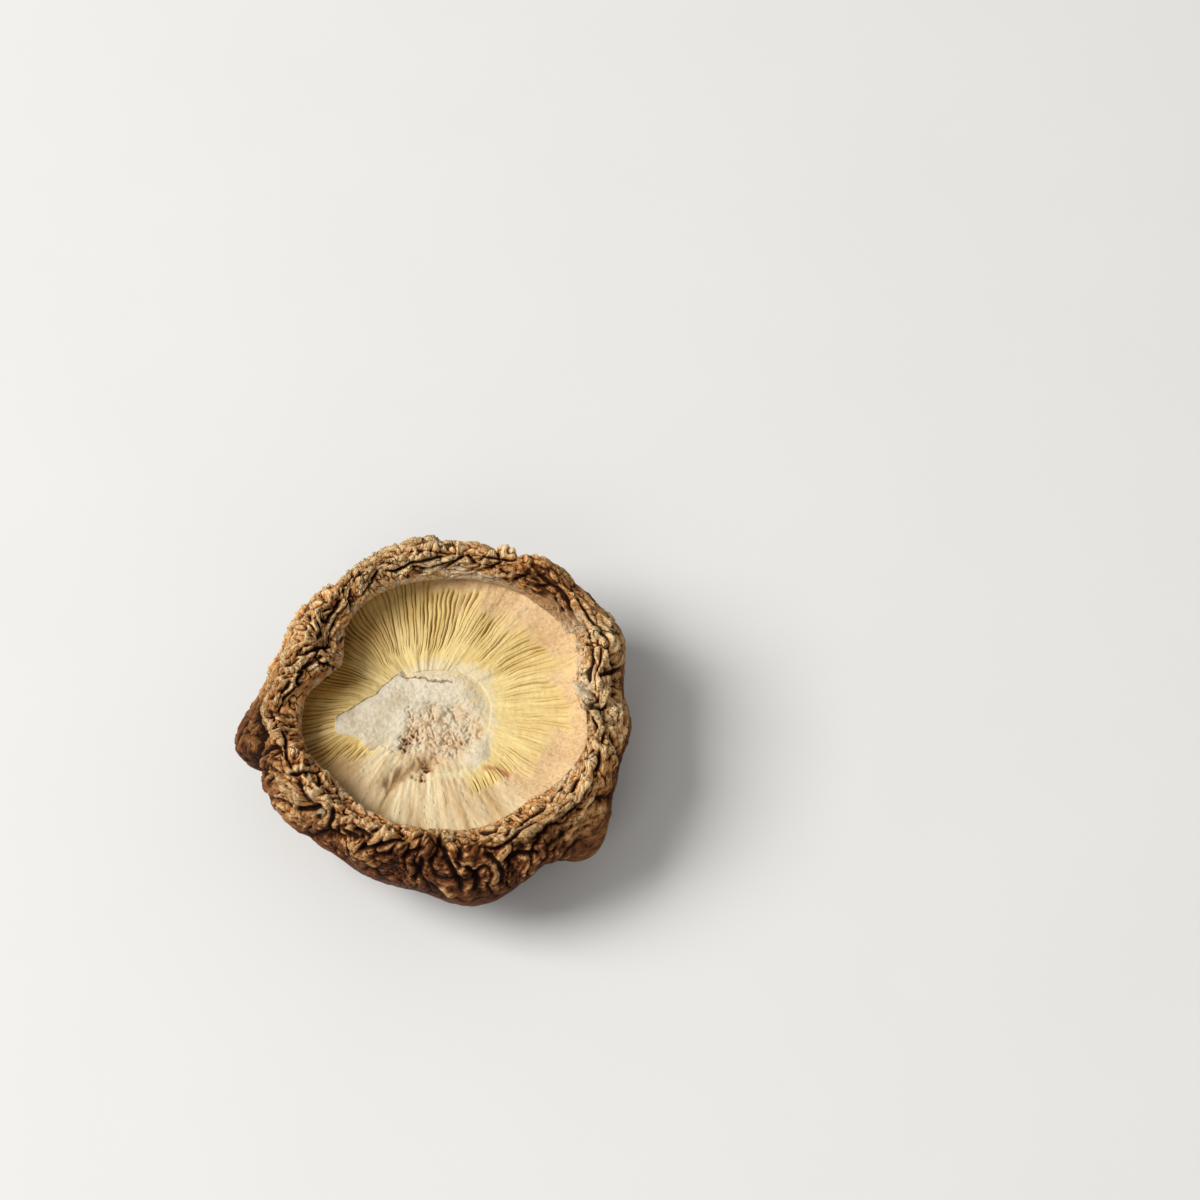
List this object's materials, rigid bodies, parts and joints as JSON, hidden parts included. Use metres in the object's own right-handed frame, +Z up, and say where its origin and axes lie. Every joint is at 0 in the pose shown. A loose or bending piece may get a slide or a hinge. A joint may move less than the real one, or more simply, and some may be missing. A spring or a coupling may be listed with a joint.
{
  "type": "shiitake mushroom",
  "caption": "Dried shiitake mushroom lying on its crown, with a thick wrinkled rolled rim, radial gills and a stem trimmed flush; a cooking ingredient.",
  "frame": {"origin": "Under the middle of the mushroom's bounding box, on the surface that its crown rests on.", "axes": "+Z up out of the gills, away from the crown; +X to the mushroom's right and +Y to its back, for someone who stands in front of the low side of the rim."},
  "size_m": [0.0496, 0.0482, 0.0191],
  "materials": {
    "cap": "dry, wrinkled, matt",
    "gills": "dry, matt",
    "stem": "torn, fibrous, matt"
  },
  "bodies": {
    "root": {"cap": "cap", "gills": "gills", "stem": "stem"}
  },
  "joints": []
}
